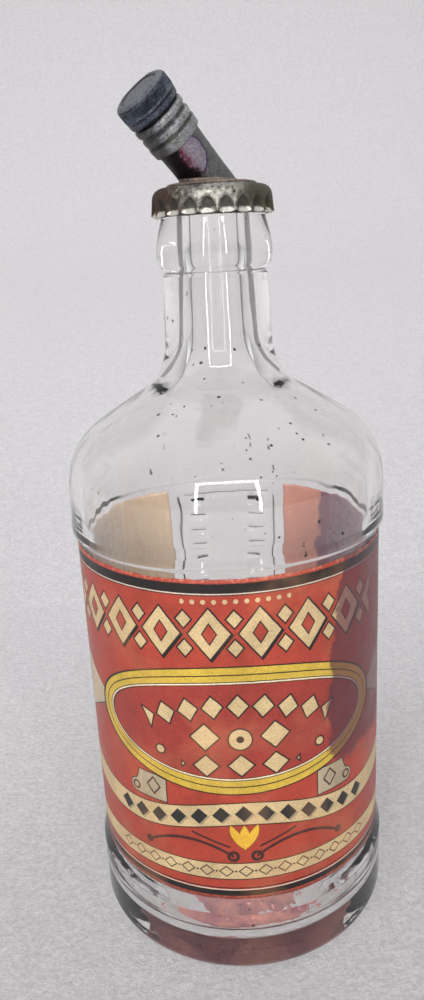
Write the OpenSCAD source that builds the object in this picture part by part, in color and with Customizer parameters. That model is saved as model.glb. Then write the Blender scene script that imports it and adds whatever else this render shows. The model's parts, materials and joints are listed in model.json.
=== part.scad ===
// Pint ink bottle with a crimped crown, a soldered slanting pouring spout and a small screw cap.
// Origin: centre of the ring that the bottle stands on. +Z is up and -Y is the label's front.

/* [Glass bottle] */
// Radius of the base ring and of the ridge above the label
ring_r = 39.67; // [33:0.01:48]
// Depth of the label panel below the base ring and the ridge
panel_inset = 1.27; // [0.8:0.01:2]
// Height of the base ring
base_ring_h = 18.3; // [14:0.1:24]
// Height of the slope between the base ring and the label panel
base_slope_h = 3.5; // [2:0.1:6]
// Height of the label panel
panel_h = 86.2; // [60:0.1:110]
// Height of the ridge's lower slope
ridge_slope_h = 1.2; // [0.6:0.1:2]
// Height from the ridge to the start of the rounded shoulder
ridge_h = 10.5; // [6:0.1:16]
// Radius of the rounded shoulder
shoulder_r = 18.34; // [14:0.01:22]
// Turn of the shoulder before it runs straight to the neck, in degrees
shoulder_turn = 58.4; // [50:0.1:64]
// Radius of the hollow curve from the shoulder to the neck
neck_fillet_r = 13.35; // [8:0.01:15]
// Radius of the neck at its foot
neck_foot_r = 13.27; // [12.6:0.01:14.5]
// Radius of the neck at its top
neck_top_r = 12.47; // [12.2:0.01:12.6]
// Length of the straight neck
neck_len = 15.2; // [10:0.1:30]
// Thickness of the body wall
wall = 3.1; // [2.4:0.1:4]
// Thickness of the floor beside the push-up
floor_t = 5; // [4.2:0.1:7]
// Height of the push-up under the floor
push_up_h = 3; // [1.5:0.1:3.6]
// Width of the flat ring that the bottle stands on
stand_w = 3.1; // [2:0.1:5]
// Radius of the heel's outer rounding
heel_r = 4; // [2:0.1:5]
// Radius of the neck's bore at the mouth
mouth_bore_r = 5.6; // [5:0.1:6]
// Radius of the neck's bore at its foot
foot_bore_r = 6.8; // [6.2:0.1:7.4]

/* [Glass finish] */
// Radius of the groove under the swelling below the crown
collar_groove_r = 12.06; // [11.6:0.01:12.2]
// Largest radius of the swelling below the crown
collar_r = 13.7; // [13:0.01:14.4]
// Height of the swelling below the crown
collar_h = 13.2; // [10:0.1:16]
// Radius of the ring that the crown is crimped under
locking_ring_r = 13; // [10.8:0.01:15.6]
// Height of the ring that the crown is crimped under
locking_ring_h = 4.9; // [4.7:0.1:5.1]

/* [Crown] */
// Thickness of the crown's tinplate
crown_sheet = 0.28; // [0.22:0.01:0.3]
// Distance that the crown's edge reaches below the locking ring
crown_tuck = 0.02; // [0:0.01:0.3]
// Distance that the flutes stand out from the locking ring at the crown's lower edge
crown_flare = 1.4; // [1.2:0.05:1.8]
// Distance that the crown's rounded corner stands out from the locking ring
crown_shelf = 0.65; // [0.55:0.05:0.9]
// Radius of the crown's rounded corner
crown_corner_r = 2.35; // [2:0.05:2.6]
// Number of flutes
crown_flutes = 21; // [21:1:24]
// Thickness of the crown's cork liner
liner_t = 0.85; // [0.6:0.05:1.2]

/* [Spout] */
// Tilt of the spout from upright, in degrees
spout_tilt = 43.8; // [20:0.1:50]
// Direction in which the spout leans, in degrees from +X
spout_heading = 215.2; // [0:0.1:360]
// Height above the mouth at which the spout's axis crosses the bottle's
spout_rise = 1.8; // [0:0.1:3]
// Radius of the bore through the tube and the ferrule
spout_bore_r = 4.4; // [3.6:0.01:5.3]
// Thickness of the tube at its foot
tube_wall = 0.8; // [0.5:0.05:1]
// How much wider the tube is at the ferrule than at its foot
tube_flare = 0.2; // [0:0.05:0.4]
// Length of the spout from the bottle's axis to the ferrule
spout_len = 12.6; // [11:0.1:24]
// Distance that the soldered foot plate stays inside the crown's flat top
foot_plate_inset = 0.9; // [0.5:0.1:2]
// Thickness of the soldered foot plate
foot_plate_t = 0.7; // [0.4:0.05:1]
// Depth of the ferrule's socket on the tube
socket_depth = 1.8; // [1.4:0.1:2.4]

/* [Ferrule] */
// Thickness of the ferrule's collar
collar_wall = 0.7; // [0.5:0.05:1]
// Height of the ferrule's collar
ferrule_collar_h = 2.2; // [1.6:0.1:3]
// Depth of the grooves beside the beads, from the collar's radius
groove_depth = 0.3; // [0.1:0.05:0.4]
// Height of a bead above the grooves
bead_h = 0.35; // [0.2:0.05:0.6]
// Width of a bead
bead_w = 2; // [1.6:0.1:2.4]
// Distance from the ferrule's end to the middle of the lower bead
first_bead = 3.75; // [3.4:0.05:4.5]
// Distance between the two beads' middles
bead_pitch = 2.5; // [2.4:0.1:3.5]

/* [Screw thread] */
// Rise of the thread in one turn
thread_pitch = 1.25; // [1.1:0.01:1.5]
// Thickness of the threaded neck between its threads
neck_wall = 0.6; // [0.5:0.05:0.8]
// Height of a thread
thread_depth = 0.6; // [0.5:0.05:0.65]
// Turns of thread on the neck
neck_turns = 2.25; // [1.75:0.25:2.25]
// Turns of thread in the cap
cap_turns = 1.5; // [1:0.25:1.75]
// Height of the plain neck below its thread
thread_lead = 0.4; // [0.3:0.05:0.8]
// Height of the plain lip above the thread
lip_h = 0.3; // [0.2:0.05:0.8]

/* [Screw cap] */
// Thickness of the cap's wall
cap_wall = 0.62; // [0.5:0.01:1]
// Space between the cap's edge and the ferrule
cap_stand_off = 0.45; // [0.3:0.05:0.8]
// Height of the knurled band
knurl_h = 2.3; // [1.5:0.1:3]
// Number of knurls
knurl_count = 84; // [60:1:96]
// Depth of the knurls
knurl_depth = 0.16; // [0.1:0.01:0.2]
// Height of the plain edge above the knurls
cap_shoulder_h = 0.9; // [0.6:0.05:1.2]
// Thickness of the cap's end wall
cap_end_t = 0.7; // [0.5:0.05:1]
// Height of the rim around the cap's end
cap_rim_h = 0.25; // [0.1:0.05:0.4]
// Thickness of the seal in the cap
seal_t = 0.8; // [0.5:0.05:1.2]

/* [Label and ink] */
// Bare glass below the label on its panel
label_lift = 0.4; // [0.2:0.1:1]
// Bare glass above the label on its panel
label_drop = 1.3; // [0.2:0.1:40]
// Width of the bare gap at the back of the label, in degrees
label_gap = 57; // [20:1:180]
// Thickness of the paper
label_t = 0.16; // [0.1:0.01:0.3]
// Thickness of the dried ink on the floor
ink_t = 0.5; // [0.3:0.05:1]

/* [Hidden] */

// Clearance between pieces that lie against each other
fit_gap = 0.05;
// Steps in a rounded stretch of an outline
arc_steps = 14;
// Steps in the push-up's outline
push_up_steps = 6;
// Side of a block larger than the whole bottle
block = 400;
// Facets of round pieces where they are shown
$fn = 96;

// Bottle: levels from the base upwards
panel_r = ring_r - panel_inset;
stand_r = ring_r - heel_r - stand_w;
slope_top_z = base_ring_h + base_slope_h;
ridge_z = slope_top_z + panel_h;
ridge_land_h = 1.8;
ridge_top_z = ridge_z + ridge_slope_h + ridge_land_h;
shoulder_z = ridge_z + ridge_slope_h + ridge_h;
shoulder_inset = 0.22;
shoulder_wall_r = ring_r - shoulder_inset;
shoulder_c = shoulder_wall_r - shoulder_r;
fillet_c = neck_foot_r + neck_fillet_r;
slope_dr = shoulder_c + shoulder_r * cos(shoulder_turn) - fillet_c + neck_fillet_r * cos(shoulder_turn);
slope_dz = slope_dr / tan(shoulder_turn);
neck_z = shoulder_z + (shoulder_r + neck_fillet_r) * sin(shoulder_turn) + slope_dz;
groove_z = neck_z + neck_len;
groove_step_h = 0.5;
groove_h = 1.3;
collar_z = groove_z + groove_h;
locking_z = groove_z + collar_h;
mouth_z = locking_z + locking_ring_h;
lip_round_r = 1.5;
lock_round_r = 1;
lock_under_h = 0.6;
// Power that puts the swelling's widest part below its middle
swell_skew = 0.6;

// Bottle: the inside
body_bore_r = panel_r - wall;
shoulder_wall = wall + shoulder_inset;
inner_shoulder_r = shoulder_r - shoulder_wall;
inner_heel_r = 8;
floor_c = body_bore_r - inner_heel_r;
floor_rise = 2;
inner_fillet_r = 18;
inner_fillet_c = foot_bore_r + inner_fillet_r;
inner_slope_dr = shoulder_c - inner_fillet_c + (inner_shoulder_r + inner_fillet_r) * cos(shoulder_turn);
inner_slope_dz = inner_slope_dr / tan(shoulder_turn);
inner_neck_z = shoulder_z + (inner_shoulder_r + inner_fillet_r) * sin(shoulder_turn) + inner_slope_dz;
mouth_flare_r = 0.8;
mouth_flare_h = 1.2;

// Label
label_z = slope_top_z + label_lift;
label_h = panel_h - label_lift - label_drop;

// Crown and liner
liner_z = mouth_z + fit_gap;
plate_z = liner_z + liner_t + fit_gap;
crown_top_z = plate_z + crown_sheet;
crown_edge_z = locking_z - crown_tuck;
crown_corner_out_r = locking_ring_r + crown_shelf;
crown_flat_r = crown_corner_out_r - crown_corner_r;
crown_edge_r = locking_ring_r + crown_flare;
// Radius of the hollows between flutes where they hold the locking ring
tuck_clearance = 0.12;
tuck_r = locking_ring_r + fit_gap + crown_sheet + tuck_clearance;
tuck_flare = 0.45;
flute_steps = 4;
// Power that makes the flutes' crests narrower than their hollows
flute_sharpness = 1.6;

// Spout: the turn about its own axis at which the threads start
thread_start = 50;

// Spout: radii from the bore outwards
tube_foot_r = spout_bore_r + tube_wall;
tube_top_r = tube_foot_r + tube_flare;
socket_r = tube_top_r + fit_gap;
ferrule_collar_r = socket_r + collar_wall;
collar_taper = 0.1;
groove_r = ferrule_collar_r - groove_depth;
bead_r = groove_r + bead_h;
thread_core_r = spout_bore_r + neck_wall;
lip_chamfer = 0.2;

// Spout: heights of its foot
spout_z = mouth_z + spout_rise;
foot_plate_z = crown_top_z + fit_gap;
foot_plate_r = crown_flat_r - foot_plate_inset;
foot_plate_bevel = 0.25;
hole_clearance = 0.3;
liner_hole_clearance = 0.5;
// Distance along the tube between heights a and b, with the tube's slant across it
function along_tube(a, b) = (b - a + tube_foot_r * sin(spout_tilt)) / cos(spout_tilt);
tube_straight_l = along_tube(spout_z, foot_plate_z + foot_plate_t) + hole_clearance;
tube_under_l = along_tube(plate_z, spout_z) + hole_clearance;

// Spout: distances along its axis from where that crosses the bottle's
ferrule_l = spout_len;
tube_len = ferrule_l + socket_depth;
socket_end_l = tube_len + fit_gap;
lower_bead_l = ferrule_l + first_bead;
upper_bead_l = lower_bead_l + bead_pitch;
neck_seat_l = upper_bead_l + bead_w / 2;

// Thread: profile widths and where each thread starts
thread_root_w = 0.55;
thread_crest_w = 0.25;
thread_sink = 0.15;
thread_clearance = 0.3;
thread_steps = 36;
neck_thread_l = neck_seat_l + thread_lead + thread_root_w / 2;
cap_thread_l = neck_thread_l + thread_pitch / 2;
cap_bore_r = thread_core_r + thread_depth + thread_clearance;

// Screw cap: distances along the spout's axis
lip_l = neck_thread_l + neck_turns * thread_pitch + thread_root_w / 2 + lip_h;
seal_l = lip_l + fit_gap;
cap_inner_l = seal_l + seal_t + fit_gap;
cap_end_l = cap_inner_l + cap_end_t;
cap_edge_l = neck_seat_l + cap_stand_off;
cap_r = cap_bore_r + cap_wall;
cap_rim_inset = 0.95;
cap_rim_r = cap_r - cap_rim_inset;
cap_rim_l = cap_end_l + cap_rim_h;
cap_rim_w = 0.7;
cap_rim_bevel = 0.45;
cap_edge_bevel = 0.2;
knurl_top_l = cap_end_l - cap_shoulder_h;
knurl_low_l = knurl_top_l - knurl_h;

// Points of an arc about [cx, cy], from angle a to angle b
function arc_points(cx, cy, r, a, b) =
    [for (i = [0:arc_steps])
        [cx + r * cos(a + (b - a) * i / arc_steps), cy + r * sin(a + (b - a) * i / arc_steps)]];

// Where the spout's axis is at height z
function spout_at(z) =
    (z - spout_z) * tan(spout_tilt) * [cos(spout_heading), sin(spout_heading)];

module on_spout() {
    translate([0, 0, spout_z])
        rotate([0, spout_tilt, spout_heading])
            rotate([0, 0, thread_start])
                children();
}

// Everything above height z
module above(z) {
    translate([-block / 2, -block / 2, z])
        cube(block);
}

// ---- Glass bottle ----

function heel_points() = concat(
    [for (i = [0:push_up_steps])
        let (a = 90 * i / push_up_steps)
        [stand_r * sin(a), push_up_h * cos(a)]],
    arc_points(ring_r - heel_r, heel_r, heel_r, -90, 0)
);

function body_points() = [
    [ring_r, base_ring_h],
    [panel_r, slope_top_z],
    [panel_r, ridge_z],
    [ring_r, ridge_z + ridge_slope_h],
    [ring_r, ridge_top_z],
    [shoulder_wall_r, ridge_top_z + ridge_land_h]
];

function shoulder_points() = concat(
    arc_points(shoulder_c, shoulder_z, shoulder_r, 0, shoulder_turn),
    arc_points(fillet_c, neck_z, neck_fillet_r, 180 + shoulder_turn, 180)
);

function finish_points() = concat(
    [[neck_top_r, groove_z], [collar_groove_r, groove_z + groove_step_h], [collar_groove_r, collar_z]],
    [for (i = [1:arc_steps])
        let (t = i / arc_steps)
        [collar_groove_r + (collar_r - collar_groove_r) * sin(180 * pow(t, swell_skew)),
         collar_z + (locking_z - collar_z) * t]],
    arc_points(locking_ring_r - lock_round_r, locking_z + lock_under_h + lock_round_r, lock_round_r, -60, 0),
    arc_points(locking_ring_r - lip_round_r, mouth_z - lip_round_r, lip_round_r, 0, 90)
);

function inner_neck_points() = concat(
    [[mouth_bore_r + mouth_flare_r, mouth_z], [mouth_bore_r, mouth_z - mouth_flare_h]],
    arc_points(inner_fillet_c, inner_neck_z, inner_fillet_r, 180, 180 + shoulder_turn),
    arc_points(shoulder_c, shoulder_z, inner_shoulder_r, shoulder_turn, 0),
    [[body_bore_r, ridge_z - ridge_h / 2]]
);

// The floor's upper surface, raised by d, from the wall to the middle
function floor_points(d) = concat(
    arc_points(floor_c, floor_t + inner_heel_r, inner_heel_r - d, 0, -90),
    [[0, floor_t + floor_rise + d]]
);

module glass_bottle() {
    color([0.86, 0.9, 0.9, 0.4])
        rotate_extrude()
            polygon(concat(
                heel_points(), body_points(), shoulder_points(), finish_points(),
                inner_neck_points(), floor_points(0)
            ));
}

// ---- Paper label ----

module paper_label() {
    color("firebrick")
        translate([0, 0, label_z])
            rotate([0, 0, 90 + label_gap / 2])
                rotate_extrude(angle = 360 - label_gap)
                    translate([panel_r + fit_gap, 0])
                        square([label_t, label_h]);
}

// ---- Crown: one fluted sheet, as a ring of sections ----

// 1 on a flute's crest and 0 in the hollow between two flutes
function flute(i) = pow((1 + cos(360 * i / flute_steps)) / 2, flute_sharpness);

// One row of the sheet: [crest radius, hollow radius, height]; side is 0 outside and 1 inside
function corner_row(a, side) = let (r = crown_corner_r - side * crown_sheet) [
    crown_flat_r + r * sin(a),
    crown_flat_r + r * sin(a),
    crown_top_z - crown_corner_r + r * cos(a)
];

function skirt_row(t, hollow_r, side) = let (
    start_z = crown_top_z - crown_corner_r
) [
    crown_corner_out_r + (crown_edge_r - crown_corner_out_r) * t - side * crown_sheet,
    hollow_r - side * crown_sheet,
    start_z + (crown_edge_z - start_z) * t
];

function crown_rows(side) = concat(
    [for (a = [0, 30, 60, 85]) corner_row(a, side)],
    [skirt_row(0.4, tuck_r, side), skirt_row(0.75, tuck_r, side), skirt_row(1, tuck_r + tuck_flare, side)]
);

module crown_shell() {
    columns = crown_flutes * flute_steps;
    hole_r = tube_foot_r / cos(spout_tilt) + hole_clearance;
    hole_c = spout_at(plate_z);
    inner_rows = crown_rows(1);
    rows = concat(crown_rows(0), [for (i = [len(inner_rows) - 1:-1:0]) inner_rows[i]]);
    count = len(rows) + 2;
    hole_ring = [for (c = [0:columns - 1]) let (a = 360 * c / columns) hole_c + hole_r * [cos(a), sin(a)]];
    points = concat(
        [for (p = hole_ring) [p.x, p.y, crown_top_z]],
        [for (row = rows, c = [0:columns - 1])
            let (a = 360 * c / columns, r = row[1] + (row[0] - row[1]) * flute(c))
            [r * cos(a), r * sin(a), row[2]]],
        [for (p = hole_ring) [p.x, p.y, plate_z]]
    );
    faces = [for (k = [0:count - 1], c = [0:columns - 1], half = [0, 1])
        let (
            low = k * columns,
            high = ((k + 1) % count) * columns,
            next = (c + 1) % columns
        )
        half == 0 ? [low + c, high + next, low + next] : [low + c, high + c, high + next]];
    color("darkgray")
        polyhedron(points, faces);
}

module crown_liner() {
    hole_c = spout_at(plate_z);
    color("peru")
        difference() {
            translate([0, 0, liner_z])
                cylinder(r = crown_flat_r, h = liner_t);
            translate([hole_c.x, hole_c.y, liner_z - liner_t])
                cylinder(r = tube_foot_r + liner_hole_clearance, h = 3 * liner_t);
        }
}

// ---- Spout ----

// The straight foot of the tube, thicker by extra, from below the crown's plate to above the foot plate
module tube_straight(extra) {
    on_spout()
        translate([0, 0, -tube_under_l])
            cylinder(r = tube_foot_r + extra, h = tube_under_l + tube_straight_l);
}

module foot_plate() {
    color("rosybrown")
        difference() {
            translate([0, 0, foot_plate_z])
                cylinder(r1 = foot_plate_r, r2 = foot_plate_r - foot_plate_bevel, h = foot_plate_t);
            tube_straight(fit_gap);
        }
}

module spout_tube() {
    color("dimgray")
        intersection() {
            on_spout()
                rotate_extrude()
                    polygon([
                        [spout_bore_r, -tube_under_l],
                        [tube_foot_r, -tube_under_l],
                        [tube_foot_r, tube_straight_l],
                        [tube_top_r, tube_len],
                        [spout_bore_r, tube_len]
                    ]);
            above(plate_z);
        }
}

// A round bead on the ferrule's outline, centred on l
function bead(l) =
    [for (a = [0:22.5:180]) [groove_r + bead_h * sin(a), l - bead_w / 2 + bead_w * a / 180]];

// Helix of thread: base radius, crest radius, first height, turns
module thread(base_r, crest_r, start_l, turns) {
    stations = ceil(turns * thread_steps);
    section = [
        [base_r, -thread_root_w / 2],
        [crest_r, -thread_crest_w / 2],
        [crest_r, thread_crest_w / 2],
        [base_r, thread_root_w / 2]
    ];
    points = [for (s = [0:stations], p = section)
        let (a = 360 * turns * s / stations)
        [p.x * cos(a), p.x * sin(a), start_l + thread_pitch * a / 360 + p.y]];
    outward = crest_r > base_r;
    sides = [for (s = [0:stations - 1], k = [0:3], half = [0, 1])
        let (low = 4 * s, high = low + 4, next = (k + 1) % 4)
        half == 0 ? [low + k, low + next, high + next] : [low + k, high + next, high + k]];
    last = 4 * stations;
    ends = [[0, 3, 2], [0, 2, 1], [last, last + 1, last + 2], [last, last + 2, last + 3]];
    faces = concat(sides, ends);
    polyhedron(points, [for (f = faces) outward ? f : [f[0], f[2], f[1]]]);
}

module spout_ferrule() {
    color("gray")
        on_spout()
            union() {
                rotate_extrude()
                    polygon(concat(
                        [[socket_r, ferrule_l], [ferrule_collar_r - collar_taper, ferrule_l]],
                        [[ferrule_collar_r + collar_taper, ferrule_l + ferrule_collar_h]],
                        [[groove_r, ferrule_l + ferrule_collar_h + groove_depth]],
                        bead(lower_bead_l),
                        bead(upper_bead_l),
                        [[thread_core_r, neck_seat_l]],
                        [[thread_core_r, lip_l - lip_chamfer], [thread_core_r - lip_chamfer, lip_l]],
                        [[spout_bore_r, lip_l], [spout_bore_r, socket_end_l], [socket_r, socket_end_l]]
                    ));
                thread(thread_core_r - thread_sink, thread_core_r + thread_depth, neck_thread_l, neck_turns);
            }
}

// ---- Screw cap and its seal ----

module knurled_band() {
    points = [for (i = [0:2 * knurl_count - 1])
        let (a = 180 * i / knurl_count, r = cap_r - (i % 2) * knurl_depth)
        [r * cos(a), r * sin(a)]];
    translate([0, 0, knurl_low_l])
        linear_extrude(height = knurl_h)
            difference() {
                polygon(points);
                circle(r = cap_bore_r);
            }
}

module screw_cap() {
    skirt_r = cap_r - knurl_depth / 2;
    color("slategray")
        on_spout()
            union() {
                rotate_extrude()
                    polygon([
                        [cap_bore_r, cap_edge_l],
                        [skirt_r - cap_edge_bevel, cap_edge_l],
                        [skirt_r, cap_edge_l + cap_edge_bevel],
                        [skirt_r, knurl_low_l],
                        [skirt_r - knurl_depth, knurl_low_l],
                        [skirt_r - knurl_depth, knurl_top_l],
                        [skirt_r, knurl_top_l],
                        [skirt_r, knurl_top_l + cap_edge_bevel],
                        [cap_rim_r + cap_rim_bevel, cap_rim_l - cap_edge_bevel],
                        [cap_rim_r, cap_rim_l],
                        [cap_rim_r - cap_rim_w, cap_rim_l],
                        [cap_rim_r - cap_rim_w - cap_rim_h, cap_end_l],
                        [0, cap_end_l],
                        [0, cap_inner_l],
                        [cap_bore_r, cap_inner_l]
                    ]);
                knurled_band();
                thread(cap_bore_r + thread_sink, cap_bore_r - thread_depth, cap_thread_l, cap_turns);
            }
}

module cap_seal() {
    color("saddlebrown")
        on_spout()
            translate([0, 0, seal_l])
                cylinder(r = cap_bore_r - fit_gap, h = seal_t);
}

// ---- Dried ink on the floor ----

module dried_ink() {
    under = floor_points(fit_gap);
    over = floor_points(fit_gap + ink_t);
    first = ceil(arc_steps / 3);
    last = len(under) - 1;
    color("darkmagenta")
        rotate_extrude()
            polygon(concat(
                [for (i = [first:last]) under[i]],
                [for (i = [last:-1:first]) over[i]]
            ));
}

glass_bottle();
paper_label();
crown_shell();
crown_liner();
foot_plate();
spout_tube();
spout_ferrule();
screw_cap();
cap_seal();
dried_ink();
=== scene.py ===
"""Ink bottle with a crimped crown and a slanting pouring spout: fine shapes and finishes."""

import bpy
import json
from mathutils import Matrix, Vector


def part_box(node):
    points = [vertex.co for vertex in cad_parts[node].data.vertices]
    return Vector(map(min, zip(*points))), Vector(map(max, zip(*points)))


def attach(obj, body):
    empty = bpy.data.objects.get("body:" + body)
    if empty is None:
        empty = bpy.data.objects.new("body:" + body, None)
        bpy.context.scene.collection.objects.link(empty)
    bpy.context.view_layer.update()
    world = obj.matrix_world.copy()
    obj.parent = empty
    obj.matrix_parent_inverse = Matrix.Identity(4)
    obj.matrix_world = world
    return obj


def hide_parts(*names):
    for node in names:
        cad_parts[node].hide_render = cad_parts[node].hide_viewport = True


bl_info = {
    "name": "Ink Bottle",
    "version": (1, 0, 0),
    "blender": (4, 5, 0),
    "location": "3D Viewport > Sidebar > Ink Bottle",
    "description": "Glass ink bottle with a printed label, a crimped crown and a pouring spout",
    "category": "Object",
}

import json
import math
import random

import bmesh
import bpy
from bpy.props import FloatProperty, FloatVectorProperty, IntProperty, PointerProperty
from mathutils import Matrix, Vector, noise

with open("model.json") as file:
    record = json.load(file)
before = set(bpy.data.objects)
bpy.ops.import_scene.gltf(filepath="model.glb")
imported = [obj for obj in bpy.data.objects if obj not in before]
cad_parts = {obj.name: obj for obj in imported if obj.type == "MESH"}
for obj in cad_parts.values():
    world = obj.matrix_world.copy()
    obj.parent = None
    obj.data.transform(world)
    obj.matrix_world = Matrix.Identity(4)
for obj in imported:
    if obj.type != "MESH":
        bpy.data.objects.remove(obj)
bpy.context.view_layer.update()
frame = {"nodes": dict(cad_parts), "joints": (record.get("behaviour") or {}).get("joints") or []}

MM = 0.001
FULL_TURN = 2 * math.pi
WELD = 0.001 * MM
ACROSS_SPOUT = (0.787, 0, 0.617)  # square to the spout, as seen from the front of the label


# ---------------------------------------------------------------------------
# Sizes and colours that a user would change
# ---------------------------------------------------------------------------


def length(name, description, default):
    return FloatProperty(
        name=name, description=description, default=default * MM, unit="LENGTH", precision=5
    )


def colour(name, description, default):
    return FloatVectorProperty(
        name=name, description=description, default=default, subtype="COLOR", size=3, min=0, max=1
    )


def glass_top():
    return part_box("glass_bottle")[1].z / MM


def glass_radius():
    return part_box("glass_bottle")[1].x / MM


class GlassSettings(bpy.types.PropertyGroup):
    ring_radius: length("Ring radius", "Radius of the base ring and the ridge", glass_radius())
    panel_inset: length("Panel inset", "Depth of the label panel", 1.27)
    base_ring: length("Base ring", "Height of the base ring", 18.3)
    base_slope: length("Base slope", "Height of the slope above the base ring", 3.5)
    ridge_height: length("Ridge height", "Height of the foot of the ridge", 108.0)
    shoulder_height: length("Shoulder height", "Height where the walls' line meets the shoulder's", 129.93)
    shoulder_radius: length("Shoulder radius", "Rounding of the shoulder", 18.34)
    shoulder_slope: FloatProperty(
        name="Shoulder slope",
        description="Slope of the shoulder's straight part above level",
        default=math.radians(31.6),
        subtype="ANGLE",
    )
    neck_radius: length("Neck radius", "Radius of the neck at its foot", 13.27)
    neck_top_radius: length("Neck top radius", "Radius of the neck under the swelling", 12.47)
    neck_fillet: length("Neck fillet", "Hollow curve from shoulder to neck", 13.35)
    finish_height: length("Finish height", "Distance from the groove on the neck to the mouth", 18.1)
    groove_radius: length("Groove radius", "Radius of the groove under the swelling", 12.06)
    swelling_radius: length("Swelling radius", "Largest radius of the swelling", 13.7)
    lock_radius: length("Lock radius", "Radius of the ring under the crown", 12.75)
    bore_radius: length("Bore radius", "Radius of the neck's bore at the mouth", 5.6)
    foot_bore_radius: length("Foot bore radius", "Radius of the neck's bore at its foot", 6.8)
    wall: length("Wall", "Thickness of the body's wall", 3.1)
    waviness: length("Waviness", "How far the inner wall wanders", 0.16)
    relief: length("Relief", "Height of the raised marks at the back", 0.8)
    tint: colour("Tint", "Colour of the glass", (0.975, 0.967, 0.957))


class LabelSettings(bpy.types.PropertyGroup):
    red: colour("Red", "Ground of the label", (0.37, 0.047, 0.026))
    cream: colour("Cream", "Unprinted paper", (0.57, 0.42, 0.22))
    yellow: colour("Yellow", "Frame of the oval", (0.56, 0.38, 0.05))
    black: colour("Black", "Outlines and bands", (0.012, 0.008, 0.007))
    stain: colour("Stain", "Spilt ink on the right side", (0.30, 0.17, 0.26))
    back: colour("Back", "Back of the paper", (0.50, 0.38, 0.27))


class CrownSettings(bpy.types.PropertyGroup):
    flutes: IntProperty(name="Flutes", description="Number of flutes", default=21, min=12, max=30)
    sheet: length("Sheet", "Thickness of the tinplate", 0.28)
    corner: length("Corner", "Rounding of the crown's corner", 2.35)
    edge_radius: length("Edge radius", "Radius of the flutes at the edge", 14.3)
    tuck_radius: length("Tuck radius", "Radius of the hollows between flutes", 13.12)
    tin: colour("Tin", "Clean tinplate", (0.48, 0.46, 0.40))
    rust: colour("Rust", "Rusted tinplate", (0.075, 0.035, 0.018))
    grime: colour("Grime", "Dark grime in the hollows", (0.018, 0.016, 0.012))


class SpoutSettings(bpy.types.PropertyGroup):
    tube_radius: length("Tube radius", "Radius of the tube at its foot", 5.2)
    tube_top_radius: length("Tube top radius", "Radius of the tube at the ferrule", 5.4)
    tube_length: length("Tube length", "Length of the tube along its axis", 14.4)
    socket: length("Socket", "Depth of the ferrule's socket", 1.8)
    bore_radius: length("Bore", "Radius of the spout's bore", 4.4)
    collar_radius: length("Collar radius", "Radius of the ferrule's collar", 6.15)
    bead_radius: length("Bead radius", "Radius of the ferrule's beads", 6.2)
    first_bead: length("First bead", "Distance from the ferrule's end to its lower bead", 3.75)
    bead_pitch: length("Bead pitch", "Distance between the beads", 2.5)
    core_radius: length("Core radius", "Radius of the threaded neck between threads", 5.0)
    neck_height: length("Neck height", "Height of the threaded neck", 4.06)
    thread_depth: length("Thread depth", "Height of a thread", 0.6)
    pitch: length("Pitch", "Rise of the thread in one turn", 1.25)
    cap_radius: length("Cap radius", "Outer radius of the screw cap", 6.52)
    knurls: IntProperty(name="Knurls", description="Number of knurls", default=72, min=40, max=120)
    knurl_depth: length("Knurl depth", "Depth of the knurls", 0.36)
    pewter: colour("Pewter", "Clean part of the ferrule", (0.22, 0.22, 0.23))
    patina: colour("Patina", "Dark patina of the cap", (0.060, 0.070, 0.095))
    ink: colour("Ink", "Ink dried on the tube", (0.20, 0.008, 0.05))


class StageSettings(bpy.types.PropertyGroup):
    eye: FloatVectorProperty(
        name="Eye", description="Where the camera stands", default=(0, -0.1952, 0.1723), unit="LENGTH"
    )
    pitch: FloatProperty(
        name="Pitch", description="Camera's tilt downwards", default=math.radians(16.95), subtype="ANGLE"
    )
    yaw: FloatProperty(
        name="Yaw", description="Camera's turn to its left", default=math.radians(1.08), subtype="ANGLE"
    )
    roll: FloatProperty(
        name="Roll", description="Camera's roll", default=math.radians(-3.03), subtype="ANGLE"
    )
    lens: FloatProperty(name="Lens", description="Focal length on a 36 mm sensor", default=28.47)
    floor: colour("Floor", "Colour of the floor and backdrop", (0.85, 0.83, 0.84))


# ---------------------------------------------------------------------------
# Shapes
# ---------------------------------------------------------------------------


def outline_points(corners, degrees=7):
    """Points of an outline through corners (radius, height, rounding)."""
    points = [Vector(corners[0][:2])]
    for before, corner, after in zip(corners, corners[1:], corners[2:]):
        here, rounding = Vector(corner[:2]), corner[2]
        if not rounding:
            points.append(here)
            continue
        back = (Vector(before[:2]) - here).normalized()
        ahead = (Vector(after[:2]) - here).normalized()
        half = back.angle(ahead) / 2
        if math.pi / 2 - half < 0.001:
            points.append(here)
            continue
        reach = rounding / math.tan(half)
        centre = here + (back + ahead).normalized() * rounding / math.sin(half)
        first = here + back * reach - centre
        last = here + ahead * reach - centre
        turn = first.angle(last)
        steps = max(2, math.ceil(math.degrees(turn) / degrees))
        for i in range(steps + 1):
            t = i / steps
            spoke = first * math.sin((1 - t) * turn) + last * math.sin(t * turn)
            points.append(centre + spoke / math.sin(turn))
    points.append(Vector(corners[-1][:2]))
    return points


def divided(points, longest):
    """The outline with no stretch longer than longest."""
    result = [points[0]]
    for a, b in zip(points, points[1:]):
        parts = max(1, math.ceil((b - a).length / longest))
        result += [a.lerp(b, i / parts) for i in range(1, parts + 1)]
    return result


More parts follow.
